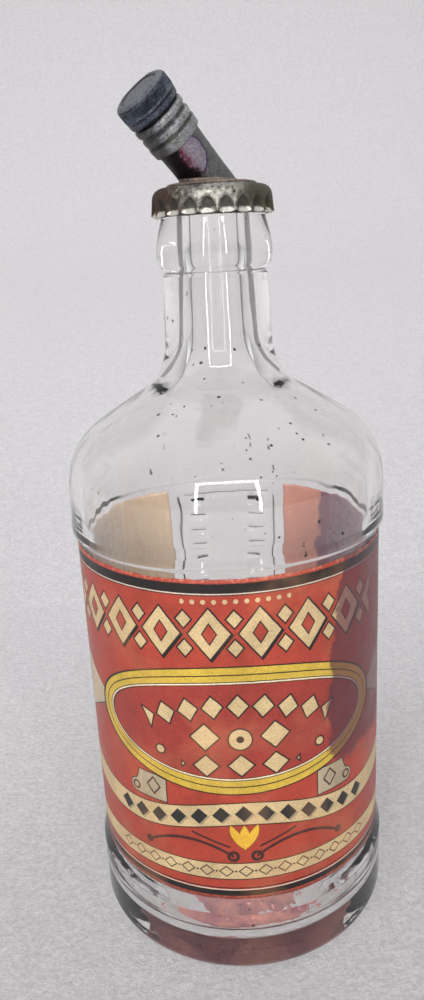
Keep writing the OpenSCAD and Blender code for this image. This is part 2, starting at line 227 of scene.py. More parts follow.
def lathe(bm, points, steps, closed=False, turn=FULL_TURN):
    """Spins an outline of (radius, height) points, in millimetres, about +Z. Returns the new vertices."""
    known = set(bm.verts)
    verts = [bm.verts.new((p[0] * MM, 0, p[1] * MM)) for p in points]
    pairs = list(zip(verts, verts[1:]))
    if closed:
        pairs.append((verts[-1], verts[0]))
    edges = [bm.edges.new(pair) for pair in pairs]
    bmesh.ops.spin(
        bm,
        geom=verts + edges,
        cent=(0, 0, 0),
        axis=(0, 0, 1),
        dvec=(0, 0, 0),
        angle=turn,
        steps=steps,
        use_merge=turn == FULL_TURN,
        use_duplicate=False,
    )
    made = [v for v in bm.verts if v not in known]
    bmesh.ops.remove_doubles(bm, verts=made, dist=WELD)
    return [v for v in bm.verts if v not in known]


def thread_ridge(bm, base, crest, start, pitch, turns):
    """A closed helix of thread with sloping flanks, sizes in millimetres."""
    section = [(base, -0.28), (crest, -0.12), (crest, 0.12), (base, 0.28)]
    verts = [bm.verts.new((r * MM, 0, (start + z) * MM)) for r, z in section]
    edges = [bm.edges.new((verts[i - 1], verts[i])) for i in range(4)]
    steps = round(turns * 48)
    bmesh.ops.spin(
        bm,
        geom=verts + edges,
        cent=(0, 0, 0),
        axis=(0, 0, 1),
        dvec=(0, 0, pitch * turns * MM / steps),
        angle=turns * FULL_TURN,
        steps=steps,
        use_merge=False,
        use_duplicate=False,
    )
    ends = [e for e in bm.edges if e.is_boundary]
    bmesh.ops.holes_fill(bm, edges=ends, sides=4)


def loft(bm, rings):
    """Closed skin through rings of points, the last joined to the first."""
    loops = []
    for ring in rings:
        verts = [bm.verts.new(p) for p in ring]
        loops.append([bm.edges.new((verts[i - 1], verts[i])) for i in range(len(verts))])
    for i in range(len(loops)):
        bmesh.ops.bridge_loops(bm, edges=loops[i - 1] + loops[i])


def ripple(bm, verts, size, depth, seed=0.0):
    """Moves vertices along their normals by smooth noise of that grain size and depth."""
    bm.normal_update()
    shift = Vector((seed, seed * 1.7, seed * 0.3))
    moves = [(v, v.normal * depth * noise.noise(v.co / size + shift)) for v in verts]
    for v, move in moves:
        v.co += move


def spout_matrix():
    """Places a shape made about +Z on the spout's axis, from the cap's joint."""
    joint = next(j for j in frame["joints"] if j["name"] == "cap_turn")
    axis = Vector(joint["axis"]).normalized()
    return Matrix.Translation(joint["pos_m"]) @ axis.to_track_quat("Z", "X").to_matrix().to_4x4()


def finish_piece(name, bm, materials, body, node, sharp=35):
    """Turns a bmesh into a piece that rides on a body and stands for a CAD node."""
    mesh = bpy.data.meshes.new(name)
    for face in bm.faces:
        face.smooth = True
    bm.to_mesh(mesh)
    bm.free()
    mesh.set_sharp_from_angle(angle=math.radians(sharp))
    for material in materials:
        mesh.materials.append(material)
    piece = bpy.data.objects.new(name, mesh)
    bpy.context.scene.collection.objects.link(piece)
    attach(piece, body)
    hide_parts(node)
    return piece


def close_up(bm):
    """Welds a closed shape and turns its faces outwards."""
    bmesh.ops.remove_doubles(bm, verts=bm.verts, dist=WELD)
    bmesh.ops.recalc_face_normals(bm, faces=bm.faces)


# ---------------------------------------------------------------------------
# Node materials
# ---------------------------------------------------------------------------


class Field:
    """A number that varies over a surface, worked out by Math nodes."""

    def __init__(self, tree, socket):
        self.tree = tree
        self.socket = socket

    def math(self, operation, *others, clamp=False):
        node = self.tree.nodes.new("ShaderNodeMath")
        node.operation = operation
        node.use_clamp = clamp
        for slot, value in zip(node.inputs, (self, *others)):
            if isinstance(value, Field):
                self.tree.links.new(value.socket, slot)
            else:
                slot.default_value = value
        return Field(self.tree, node.outputs[0])

    def __add__(self, other):
        return self.math("ADD", other)

    def __sub__(self, other):
        return self.math("SUBTRACT", other)

    def __mul__(self, other):
        return self.math("MULTIPLY", other)

    def __truediv__(self, other):
        return self.math("DIVIDE", other)

    def __neg__(self):
        return self.math("MULTIPLY", -1.0)

    def __abs__(self):
        return self.math("ABSOLUTE")

    def min(self, other):
        return self.math("MINIMUM", other)

    def max(self, other):
        return self.math("MAXIMUM", other)

    def wrap(self, period):
        """The distance from the middle of the cell that the value lies in."""
        return self.math("WRAP", -period / 2, period / 2)

    def cover(self, blur):
        """1 where the value is below 0 and 0 where it is above, over a soft edge."""
        return self.math("MULTIPLY_ADD", -1.0 / blur, 0.5, clamp=True)

    def between(self, low, high):
        """0 at low, 1 at high, held outside them."""
        node = self.tree.nodes.new("ShaderNodeMapRange")
        node.clamp = True
        self.tree.links.new(self.socket, node.inputs["Value"])
        node.inputs["From Min"].default_value = low
        node.inputs["From Max"].default_value = high
        return Field(self.tree, node.outputs["Result"])


def hypot(x, y):
    return (x * x + y * y).math("SQRT")


class Finish:
    """A node material under construction, on Object coordinates."""

    def __init__(self, name, **sockets):
        self.material = bpy.data.materials.new(name)
        self.material.use_nodes = True
        self.tree = self.material.node_tree
        self.shader = self.tree.nodes["Principled BSDF"]
        self.coords = self.tree.nodes.new("ShaderNodeTexCoord")
        for key, value in sockets.items():
            self.shader.inputs[key.replace("_", " ")].default_value = value

    def mapped(self, scale, turn=None):
        node = self.tree.nodes.new("ShaderNodeMapping")
        node.inputs["Scale"].default_value = scale
        if turn is not None:
            node.inputs["Rotation"].default_value = turn
        self.tree.links.new(self.coords.outputs["Object"], node.inputs["Vector"])
        return node.outputs["Vector"]

    def noise(self, size, detail=4.0, rough=0.6, stretch=(1, 1, 1), turn=None, distortion=0.0):
        """Noise from 0 to 1 with features of about size metres."""
        node = self.tree.nodes.new("ShaderNodeTexNoise")
        node.inputs["Scale"].default_value = 1.0
        node.inputs["Detail"].default_value = detail
        node.inputs["Roughness"].default_value = rough
        node.inputs["Distortion"].default_value = distortion
        scale = tuple(1 / (size * s) for s in stretch)
        self.tree.links.new(self.mapped(scale, turn), node.inputs["Vector"])
        return Field(self.tree, node.outputs["Fac"])

    def specks(self, size):
        """Distance to scattered points, in cells of that size."""
        node = self.tree.nodes.new("ShaderNodeTexVoronoi")
        node.inputs["Scale"].default_value = 1.0
        scale = (1 / size,) * 3
        self.tree.links.new(self.mapped(scale), node.inputs["Vector"])
        return Field(self.tree, node.outputs["Distance"])

    def axis(self, name):
        node = self.tree.nodes.new("ShaderNodeSeparateXYZ")
        self.tree.links.new(self.coords.outputs["Object"], node.inputs[0])
        return Field(self.tree, node.outputs[name])

    def along(self, direction, origin=(0, 0, 0)):
        """Distance in millimetres along a direction from an origin."""
        node = self.tree.nodes.new("ShaderNodeVectorMath")
        node.operation = "DOT_PRODUCT"
        self.tree.links.new(self.coords.outputs["Object"], node.inputs[0])
        node.inputs[1].default_value = direction
        return (Field(self.tree, node.outputs["Value"]) - Vector(direction).dot(Vector(origin))) / MM

    def attribute(self, name):
        """A value stored on the mesh."""
        node = self.tree.nodes.new("ShaderNodeAttribute")
        node.attribute_name = name
        return Field(self.tree, node.outputs["Fac"])

    def plain(self, rgb):
        node = self.tree.nodes.new("ShaderNodeRGB")
        node.outputs[0].default_value = (*rgb, 1)
        return node.outputs[0]

    def paint(self, under, rgb, mask, blend="MIX"):
        """Lays a colour over another where mask is 1."""
        node = self.tree.nodes.new("ShaderNodeMix")
        node.data_type = "RGBA"
        node.blend_type = blend
        if isinstance(mask, Field):
            self.tree.links.new(mask.socket, node.inputs[0])
        else:
            node.inputs[0].default_value = mask
        self.tree.links.new(under, node.inputs[6])
        if isinstance(rgb, bpy.types.NodeSocket):
            self.tree.links.new(rgb, node.inputs[7])
        else:
            node.inputs[7].default_value = (*rgb, 1)
        return node.outputs[2]

    def shade(self, under, amount, low=0.7, high=1.1):
        """Multiplies a colour by a factor from low to high as amount goes from 0 to 1."""
        factor = amount.between(0.25, 0.75) * (high - low) + low
        node = self.tree.nodes.new("ShaderNodeVectorMath")
        node.operation = "SCALE"
        self.tree.links.new(under, node.inputs[0])
        self.tree.links.new(factor.socket, node.inputs["Scale"])
        return node.outputs[0]

    def set(self, name, value):
        socket = value.socket if isinstance(value, Field) else value
        self.tree.links.new(socket, self.shader.inputs[name])

    def bump(self, height, depth):
        """Bump of that depth in metres from a height of 0 to 1."""
        node = self.tree.nodes.new("ShaderNodeBump")
        node.inputs["Distance"].default_value = depth
        node.inputs["Strength"].default_value = 1.0
        self.tree.links.new(height.socket, node.inputs["Height"])
        before = self.shader.inputs["Normal"]
        if before.is_linked:
            self.tree.links.new(before.links[0].from_socket, node.inputs["Normal"])
        self.tree.links.new(node.outputs["Normal"], before)


def glass_finish(settings):
    """Clear old glass with a soft wave, dark specks of two sizes, fine scratches and painted shade down
    the sides of the bore.
    """
    made = Finish("bottle_glass", Roughness=0.015, IOR=1.5, Transmission_Weight=1.0)
    tint = made.plain(settings.tint)
    patch = made.noise(26 * MM, detail=2).between(0.47, 0.5)
    spots = (made.specks(5.5 * MM) - 0.075).cover(0.02) * patch
    spots = spots.max((made.specks(2.6 * MM) - 0.05).cover(0.02) * made.noise(14 * MM).between(0.52, 0.55))
    tint = made.paint(tint, (0.012, 0.01, 0.01), spots)
    x, y, z = (made.axis(name) / MM for name in "XYZ")
    # Painted shade: a thin dark strip down each side of the neck's bore, which also lets less light
    # through, draws the dark lines that refraction makes at the bore's edges.
    inside = (hypot(x, y) - 12.0).cover(0.5) * z.between(133, 140)
    streaks = made.noise(5 * MM, detail=3, stretch=(1, 1, 6))
    film = (abs(y + 1.0) - 0.5 - streaks.between(0.3, 0.7)).cover(0.4) * inside * 0.85
    tint = made.paint(tint, (0.020, 0.015, 0.012), film)
    made.set("Transmission Weight", -(film - 1.0))
    hair = made.noise(5 * MM, detail=2, stretch=(1, 1, 6), distortion=1.2)
    line = (abs(hair - 0.5) - 0.0015).cover(0.001)
    made.set("Base Color", made.paint(tint, (0.72, 0.74, 0.74), line * 0.35))
    made.set("Roughness", made.noise(12 * MM).between(0.35, 0.8) * 0.05 + 0.01)
    made.bump(made.noise(9 * MM, detail=2, stretch=(1, 1, 3)), 0.10 * MM)
    return made.material


def lozenge(half_width, half_height):
    """Distance to the edge of a lozenge."""
    steep = 1 / math.hypot(1 / half_width, 1 / half_height)

    def distance(x, y):
        return (abs(x) * (steep / half_width) + abs(y) * (steep / half_height)) - steep

    return distance


def disc(radius):
    def distance(x, y):
        return hypot(x, y) - radius

    return distance


def petal(half_width, half_height):
    """Distance to the edge of a shape with two round sides that meet in points."""
    radius = (half_height**2 + half_width**2) / (2 * half_width)

    def distance(x, y):
        return hypot(abs(x) + (radius - half_width), y) - radius

    return distance


def label_print(made, settings, u, v):
    """The printed design. u and v are millimetres from the front's middle and from the lower edge."""
    blur, line = 0.12, 0.38
    red, cream = settings.red, settings.cream
    yellow, black = settings.yellow, settings.black
    brown = (0.05, 0.015, 0.012)
    side = abs(u - 0.6)
    ground = made.plain(red)

    def outlined(under, shape, shade, margin=line):
        """Paints a shape with a black line round it."""
        under = made.paint(under, black, (shape - margin).cover(blur))
        return made.paint(under, shade, shape.cover(blur))

    # Oval: its frame grows wider towards the ends
    oval_v = v - 46.8
    inner = hypot(u / 34.4, oval_v / 12.4)
    outer = hypot(u / 38.4, oval_v / 16.5)
    wings = (abs(oval_v - 1.0) - (side - 35.5) * 0.55).max(side - 52.0)
    ground = outlined(ground, wings, (0.52, 0.42, 0.28), 0.3)
    share = (inner - 1.0) / ((inner - 1.0) + (-(outer - 1.0)))
    frame_mask = ((outer - 1.0) * 16).cover(blur)
    ground = made.paint(ground, black, ((outer - 1.02) * 16).cover(blur))
    ground = made.paint(ground, yellow, frame_mask)
    for where in (0.62, 0.16):
        ground = made.paint(ground, black, (abs(share - where) - 0.035).cover(0.03) * frame_mask)
    ground = made.paint(ground, (0.75, 0.66, 0.52), (abs(share - 0.07) - 0.05).cover(0.03) * frame_mask)
    inside = ((inner - 1.0) * 14).cover(blur)
    ground = made.paint(ground, black, inside)
    deep_red = (red[0] * 0.82, red[1] * 0.8, red[2])
    ground = made.paint(ground, deep_red, ((inner - 0.985) * 14).cover(blur))

    # Tall lozenges along the top, with pairs of dots between them
    x, y = (u + 5.2).wrap(11.4), v - 71.5
    reach = (abs(u + 5.2) - 45.0).cover(blur)
    tall = lozenge(4.7, 6.0)
    shadow = (tall(x - 0.35, y + 0.35) - line).cover(blur) * reach
    ground = made.paint(ground, black, shadow)
    heart = lozenge(1.5, 2.3)(x, y)
    half_x = (u + 5.2 - 5.7).wrap(11.4)
    pair = lozenge(1.7, 2.0)(half_x, abs(y) - 3.5)
    for shape, shade, margin in ((tall(x, y), cream, line), (heart, red, 0.3), (pair, cream, line)):
        ground = made.paint(ground, black, (shape - margin).cover(blur) * reach)
        ground = made.paint(ground, shade, shape.cover(blur) * reach)

    # A line of small dots above them
    dots = disc(0.55)((u - 1.0).wrap(2.4), v - 79.2).max(abs(u - 1.0) - 12.4)
    ground = made.paint(ground, cream, dots.cover(blur))

    # Inside the oval: an arch of lozenges, a middle group and a lower row
    arch_r = 50.9
    swing = u.math("ARCTAN2", v - 2.6) * arch_r
    arch_y = hypot(u, v - 2.6) - arch_r
    arch = lozenge(2.35, 2.7)((swing - 0.4).wrap(5.9), arch_y).max(abs(swing - 0.4) - 23.4)
    ground = outlined(ground, arch, cream)
    middle = lozenge(3.3, 3.3)((side - 8.2), v - 45.4).min(disc(2.6)(side, v - 44.9))
    ground = outlined(ground, middle, cream)
    pip = disc(0.9)(side, v - 44.9)
    ground = made.paint(ground, black, pip.cover(blur))
    lower = lozenge(2.9, 2.7)((u - 0.6).wrap(8.2), v - 38.0 + side * 0.02).max(side - 14.0)
    lower = lower.min(disc(1.0)(side - 19.6, v - 40.4))
    ground = outlined(ground, lower, cream)

    # Brackets under the oval, with a lozenge and a scroll on each
    bracket = (abs(side - 24.0) - 5.0).max(abs(v - 29.0) - 3.4)
    bracket = bracket.max(-(hypot(side - 33.4, v - 33.2) - 6.6)).max(-((outer - 1.03) * 16))
    scroll = disc(1.7)(side - 28.2, v - 27.4)
    bracket = bracket.min(scroll)
    ground = outlined(ground, bracket, (0.40, 0.33, 0.22), 0.3)
    mark = abs(lozenge(1.9, 2.3)(side - 22.6, v - 29.2)) - 0.22
    curl = abs(disc(1.0)(side - 28.2, v - 27.4)) - 0.28
    ground = made.paint(ground, brown, mark.min(curl).cover(blur))

    # Upper ribbon, waved, with a row of black lozenges
    wave = (side * (math.pi / 31)).math("COSINE") * 2.05 + 22.65
    ribbon_y = v - wave
    for half, shade in ((3.25, black), (2.95, cream)):
        ground = made.paint(ground, shade, (abs(ribbon_y) - half).cover(blur))
    row_x = (u - 0.6).wrap(5.4)
    row = lozenge(2.15, 2.2)(row_x, ribbon_y).max(side - 35.5)
    shade = lozenge(2.15, 2.2)(row_x - 0.5, ribbon_y + 0.35).max(side - 35.5)
    ground = made.paint(ground, (0.33, 0.26, 0.15), shade.cover(blur))
    ground = made.paint(ground, (0.02, 0.02, 0.018), row.cover(blur))

    # Flourish: two long scrolls with curls, and three petals between them
    sweep = v - 16.7 + (side - 14.0) * (side - 14.0) * 0.033
    stroke = (abs(sweep) - 0.42).max(abs(side - 14.2) - 11.4)
    second = (abs(v - 18.9 + (-(side - 12.6)) * 0.40) - 0.3).max(abs(side - 8.2) - 4.6)
    curls = disc(1.05)(side - 25.2, v - 12.9).min(abs(disc(1.15)(side - 2.9, v - 12.6)) - 0.42)
    ground = made.paint(ground, brown, stroke.min(second).min(curls).cover(blur))
    lean = side - 2.0 - (v - 18.4) * 0.42
    petals = petal(1.25, 3.4)(side, v - 17.9).min(petal(1.15, 3.2)(lean, v - 18.2))
    ground = made.paint(ground, (0.25, 0.09, 0.015), (petals - 0.25).cover(blur))
    ground = made.paint(ground, (0.74, 0.42, 0.04), petals.cover(blur))

    # Lower ribbon with a row of thin dark marks
    low_y = v - 8.25 + side * side * 0.0004
    for half, shade in ((2.5, black), (2.22, cream)):
        ground = made.paint(ground, shade, (abs(low_y) - half).cover(blur))
    ring = abs(lozenge(1.7, 1.45)((u - 0.6).wrap(4.8), low_y)) - 0.16
    dot = disc(0.3)((u - 0.6 - 2.4).wrap(4.8), low_y)
    marks = ring.min(dot).max(side - 36.0)
    ground = made.paint(ground, (0.06, 0.035, 0.025), marks.cover(blur))

    # Bands at the top and the bottom
    bands = abs(v - 82.3) - 1.15
    bands = bands.min(abs(v - 80.75) - 0.12).min(abs(v - 3.3) - 0.15).min(abs(v - 1.75) - 0.8)
    ground = made.paint(ground, black, bands.cover(blur))
    pale = (abs(v - 81.02) - 0.13).min(abs(v - 2.75) - 0.14)
    return made.paint(ground, (0.62, 0.55, 0.45), pale.cover(blur))


def label_finish(settings):
    """Varnished, aged paper with a printed design and a spilt-ink stain."""
    made = Finish("label_print", Coat_Weight=0.15, Coat_Roughness=0.3, Specular_IOR_Level=0.3)
    uv = made.tree.nodes.new("ShaderNodeUVMap")
    uv.uv_map = "label"
    split = made.tree.nodes.new("ShaderNodeSeparateXYZ")
    made.tree.links.new(uv.outputs["UV"], split.inputs[0])
    width, height = label_size()
    jitter = (made.noise(2.2 * MM, detail=3) - 0.5) * 0.22
    u = Field(made.tree, split.outputs["X"]) * width - width / 2 + jitter
    v = Field(made.tree, split.outputs["Y"]) * height + jitter * 0.6
    ink = label_print(made, settings, u, v)

    grain = made.noise(0.35 * MM, detail=5, rough=0.8)
    blotch = made.noise(7 * MM, detail=5, rough=0.65)
    ink = made.shade(ink, grain, 0.5, 1.4)
    ink = made.shade(ink, blotch, 0.70, 1.14)
    ink = made.paint(ink, (0.62, 0.30, 0.14), made.noise(16 * MM, detail=3).between(0.5, 0.8) * 0.22)

    wander = (made.noise(6 * MM, detail=4) - 0.5) * 7
    stain = (-(u - 23.5 + wander) + (v - 48.0) * (v - 48.0) * 0.004).cover(0.8)
    stain = stain * (-(v - 33.0 + wander)).cover(2.0)
    ink = made.paint(ink, settings.stain, stain * 0.9, "MULTIPLY")
    ink = made.paint(ink, (0.20, 0.11, 0.15), stain * 0.12)

    worn = made.noise(1.1 * MM, detail=6, rough=0.75).between(0.70, 0.74)
    edge = (abs(v - height / 2) - height / 2 + 1.2 + jitter * 4).between(0.0, 2.4)
    worn = worn.max(edge * made.noise(0.8 * MM, detail=4).between(0.5, 0.62)) * 0.8
    ink = made.paint(ink, (0.66, 0.52, 0.36), worn)
    made.set("Base Color", ink)
    made.set("Roughness", blotch.between(0.3, 0.8) * 0.25 + 0.32)
    made.bump(grain, 0.03 * MM)
    made.bump(made.noise(4 * MM, detail=3), 0.12 * MM)
    return made.material


def paper_back_finish(settings):
    """The back of the paper seen through the glass: tan, and stained on one side."""
    made = Finish("label_back", Roughness=0.85)
    uv = made.tree.nodes.new("ShaderNodeUVMap")
    uv.uv_map = "label"
    split = made.tree.nodes.new("ShaderNodeSeparateXYZ")
    made.tree.links.new(uv.outputs["UV"], split.inputs[0])
    width, _height = label_size()
    wander = (made.noise(8 * MM, detail=4) - 0.5) * 9
    u = Field(made.tree, split.outputs["X"]) * width - width / 2 + wander
    shade = made.plain(settings.back)
    shade = made.paint(shade, (0.42, 0.19, 0.15), (-(u - 60.0)).cover(20.0))
    shade = made.paint(shade, (0.15, 0.065, 0.10), (abs(u - 66.0) - 23.0).cover(1.2))
    shade = made.shade(shade, made.noise(0.6 * MM, detail=5, rough=0.75), 0.75, 1.15)
    shade = made.shade(shade, made.noise(2 * MM, detail=3, stretch=(1, 1, 7)), 0.85, 1.1)
    spots = (made.specks(2.6 * MM) - 0.09).cover(0.03)
    made.set("Base Color", made.paint(shade, (0.75, 0.70, 0.62), spots * 0.5))
    return made.material


def tin_finish(settings):
    """Tinplate: rusted at the left, bright and mottled in front, darker at the right and over the back,
    with painted shade in the flute hollows and painted highlights on the flared lips.
    """
    made = Finish("crown_tin", Roughness=0.35)
    x = made.axis("X") / MM
    y = made.axis("Y") / MM
    mottle = made.noise(1.1 * MM, detail=6, rough=0.75)
    cloud = made.noise(4 * MM, detail=3)
    shade = made.shade(made.plain(settings.tin), mottle, -0.25, 1.45)
    wander = (mottle - 0.5) * 14 + (cloud - 0.5) * 16
    rust = (x + 6.5 + wander * 0.6).cover(5.0)
    # Darker at the right and over the back, in a dark olive tone.
    dark = (-(x - 6.0 + wander * 0.6)).cover(5.0)
    behind = (-(y - 2.0 + wander)).cover(8.0) * 0.7
    rust_tone = made.shade(made.plain(settings.rust), made.noise(0.7 * MM, detail=6, rough=0.8), 0.0, 0.8)
    dark_tone = made.shade(made.plain((0.05, 0.047, 0.028)), mottle, 0.1, 1.9)
    shade = made.paint(shade, dark_tone, dark.max(behind * 0.8))
    shade = made.paint(shade, rust_tone, rust.max(behind * cloud.between(0.45, 0.6)))
    pits = made.noise(0.5 * MM, detail=5, rough=0.8).between(0.60, 0.68)
    shade = made.paint(shade, settings.grime, pits * 0.75)
    # Painted shade: near-black in the hollows of the flutes, where shade falls.
    crevice_shade = (made.attribute("valley") + (mottle - 0.5) * 0.9).between(0.30, 0.75)
    shade = made.paint(shade, (0.018, 0.014, 0.009), crevice_shade * 0.9)
    # Painted highlight: pale bright tin on the flared lips of the flutes, which are also made more
    # metallic there.
    lip_highlight = (made.attribute("skirt") + (mottle - 0.5) * 0.8).between(0.18, 0.45)
    shade = made.paint(shade, (0.80, 0.77, 0.68), lip_highlight * 0.9)
    made.set("Base Color", shade)
    matt = (rust.max(pits).max(dark * 0.7).max(crevice_shade) - lip_highlight).max(0.0)
    made.set("Metallic", -(matt * 0.85 - 0.95))
    made.set("Roughness", matt * 0.45 + mottle * 0.3 + 0.14)
    made.bump(mottle, 0.12 * MM)
    made.bump(made.noise(0.35 * MM, detail=4), 0.05 * MM)
    return made.material


def dull_metal_finish(name, base, dark, pale, wear=0.5, size=1.0, metallic=0.7):
    """Cast soft metal, darkened in its pits and pale where it has corroded."""
    made = Finish(name, Roughness=0.5)
    coarse = made.noise(2.2 * MM * size, detail=6, rough=0.7)
    fine = made.noise(0.45 * MM * size, detail=6, rough=0.8)
    shade = made.shade(made.plain(base), fine, 0.2, 2.0)
    crust = (coarse * 0.6 + fine * 0.4).between(0.50, 0.62) * wear
    shade = made.paint(shade, pale, crust)
    pits = (fine * 0.65 + coarse * 0.35).between(0.47, 0.38)
    shade = made.paint(shade, dark, pits * 0.85)
    made.set("Metallic", -(crust * 0.6 - metallic))
    made.set("Roughness", crust * 0.3 + fine * 0.35 + 0.22)
    made.bump(fine, 0.10 * MM)
    made.bump(coarse, 0.22 * MM)
    return made, shade


def ferrule_finish(settings):
    """Pale corrosion on the beads, painted shade in the grooves beside them and under the cap's edge."""
    made, shade = dull_metal_finish(
        "ferrule_pewter", settings.pewter, (0.022, 0.02, 0.02), (0.44, 0.44, 0.42), wear=0.6
    )
    place = spout_matrix()
    axis = place.to_3x3() @ Vector((0, 0, 1))
    level = made.along(axis, place.to_translation())
    start = (settings.tube_length - settings.socket) / MM
    first = start + settings.first_bead / MM
    second = first + settings.bead_pitch / MM
    wander = (made.noise(1.4 * MM, detail=5, rough=0.7) - 0.5) * 1.3
    middle = (first + second) / 2
    # Painted shade: near-black lines in the groove between the beads, next to the collar and at the seat
    # under the cap's edge.
    groove = abs(level - middle).min(abs(level - (second + 1.1))).min(abs(level - (start + 2.55)))
    grime = (groove - 0.32 + wander).cover(0.5)
    shade = made.paint(shade, (0.02, 0.018, 0.018), grime * 0.9)
    shade = made.paint(shade, (0.10, 0.11, 0.055), made.noise(3 * MM, detail=4).between(0.55, 0.66) * 0.6)
    soot = (made.along(ACROSS_SPOUT, place.to_translation()) + 2.9 + wander * 2).cover(1.6)
    made.set("Base Color", made.paint(shade, (0.03, 0.026, 0.027), soot * 0.8))
    return made.material


def cap_finish(settings):
    """Dark blue-grey patina, worn grey on the end, with painted shade in its creases and along its lower
    edge.
    """
    made, shade = dull_metal_finish(
        "cap_patina", settings.patina, (0.01, 0.01, 0.012), (0.26, 0.29, 0.30), wear=0.3
    )
    place = spout_matrix()
    axis = place.to_3x3() @ Vector((0, 0, 1))
    level = made.along(axis, place.to_translation())
    worn = level.between(25.0, 25.5) * made.noise(1.2 * MM, detail=6, rough=0.75).between(0.38, 0.6)
    shade = made.paint(shade, (0.17, 0.17, 0.18), worn * 0.8)
    streak = made.noise(0.5 * MM, detail=3, stretch=(1, 8, 1), turn=(0, 0, 0.5)).between(0.56, 0.62)
    shade = made.paint(shade, (0.02, 0.02, 0.022), streak * 0.6)
    across = place.to_3x3() @ Vector((1, 0, 0))
    up = place.to_3x3() @ Vector((0, 1, 0))
    out = hypot(made.along(across, place.to_translation()), made.along(up, place.to_translation()))
    wander = (made.noise(0.9 * MM, detail=4) - 0.5) * 0.7
    # Painted shade: near-black in the hollow round the end, in the step under the knurled band, along the
    # lower edge and at the top of the band.
    moat = (abs(out - 4.55) - 0.22 + wander).cover(0.25) * level.between(25.0, 25.3)
    seam = (abs(level - 21.9) - 0.22 + wander).cover(0.3).max((level - 20.7 + wander).cover(0.3))
    shoulder = (abs(level - 24.95) - 0.12 + wander).cover(0.2) * out.between(5.9, 6.1)
    crease_shade = moat.max(seam * out.between(5.8, 6.0)).max(shoulder)
    made.set("Base Color", made.paint(shade, (0.006, 0.006, 0.008), crease_shade * 0.9))
    return made.material


def tube_finish(settings):
    """Grey tube: dark at its left, with magenta streaks and a pale stain edged in purple."""
    made, shade = dull_metal_finish(
        "tube_metal", (0.10, 0.098, 0.098), (0.012, 0.012, 0.012), (0.24, 0.235, 0.225), wear=0.35
    )
    place = spout_matrix()
    axis = place.to_3x3() @ Vector((0, 0, 1))
    level = made.along(axis, place.to_translation())
    side = made.along(ACROSS_SPOUT, place.to_translation())
    blot = made.noise(1.8 * MM, detail=6, rough=0.72) - 0.5
    fine = made.noise(0.5 * MM, detail=5, rough=0.8)
    patch = hypot((side - 0.4) / 2.9, (level - 9.6) / 4.2) - 1 + blot * 0.5
    pale = made.shade(made.plain((0.22, 0.19, 0.23)), fine, 0.35, 1.7)
    shade = made.paint(shade, pale, patch.cover(0.15))
    shade = made.paint(shade, (0.045, 0.012, 0.08), (abs(patch - 0.05) - 0.05).cover(0.08))
    streaks = fine.between(0.44, 0.52) * (side + 0.3 + blot * 5).cover(1.2) * level.between(5.5, 8.0)
    shade = made.paint(shade, settings.ink, streaks)
    soot = (side + 1.2 + blot * 5 + (level - 10.0) * 0.12).cover(0.9)
    shade = made.paint(shade, (0.005, 0.002, 0.004), soot)
    made.set("Base Color", shade)
    return made.material


def foot_finish():
    made, shade = dull_metal_finish(
        "foot_sheet", (0.17, 0.13, 0.11), (0.03, 0.02, 0.015), (0.32, 0.27, 0.23), wear=0.4
    )
    made.set("Base Color", shade)
    return made.material


def cork_finish():
    made = Finish("liner_cork", Roughness=0.9)
    grain = made.noise(0.9 * MM, detail=5, rough=0.7)
    shade = made.shade(made.plain((0.36, 0.20, 0.09)), grain, 0.5, 1.3)
    lenticels = (made.specks(1.6 * MM) - 0.16).cover(0.06)
    made.set("Base Color", made.paint(shade, (0.09, 0.04, 0.02), lenticels))
    made.bump(grain, 0.15 * MM)
    return made.material


def leather_finish():
    made = Finish("seal_leather", Roughness=0.75)
    grain = made.noise(0.5 * MM, detail=5, rough=0.7)
    shade = made.shade(made.plain((0.13, 0.055, 0.03)), grain, 0.5, 1.4)
    made.set("Base Color", made.paint(shade, (0.05, 0.004, 0.02), made.noise(2.5 * MM).between(0.5, 0.6)))
    made.bump(grain, 0.08 * MM)
    return made.material


def ink_finish():
    """Dried ink: a thin salmon film with dark magenta clots."""
    made = Finish("ink_film", Roughness=0.4)
    cloud = made.noise(7 * MM, detail=6, rough=0.7)
    fine = made.noise(1.0 * MM, detail=6, rough=0.75)
    shade = made.plain((0.36, 0.14, 0.16))
    shade = made.paint(shade, (0.62, 0.28, 0.22), (cloud * 0.6 + fine * 0.4).between(0.46, 0.56))
    shade = made.paint(shade, (0.20, 0.045, 0.08), fine.between(0.5, 0.6) * 0.5)
    clots = (cloud * 0.5 + fine * 0.5).between(0.44, 0.39)
    shade = made.paint(shade, (0.09, 0.004, 0.022), clots)
    made.set("Base Color", shade)
    made.set("Roughness", fine * 0.5 + 0.15)
    made.bump(fine, 0.25 * MM)
    return made.material


def floor_finish(settings):
    made = Finish("stage_cloth", Roughness=0.95, Specular_IOR_Level=0.1)
    nap = made.noise(1.8 * MM, detail=6, rough=0.85)
    weave = made.noise(6 * MM, detail=3, rough=0.7)
    shade = made.shade(made.plain(settings.floor), nap, 0.70, 1.22)
    made.set("Base Color", made.shade(shade, weave, 0.93, 1.05))
    made.bump(nap, 2.6 * MM)
    return made.material


# ---------------------------------------------------------------------------
# Pieces
# ---------------------------------------------------------------------------


def label_size():
    """Width round the glass and height of the label, in millimetres, from its CAD node."""
    low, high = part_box("paper_label")
    return math.radians(label_sweep()) * high.x / MM, (high.z - low.z) / MM


def label_sweep():
    """Degrees of glass that the label covers, from how far its ends reach round the back."""
    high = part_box("paper_label")[1]
    return 180 + 2 * math.degrees(math.asin(min(1.0, high.y / high.x)))


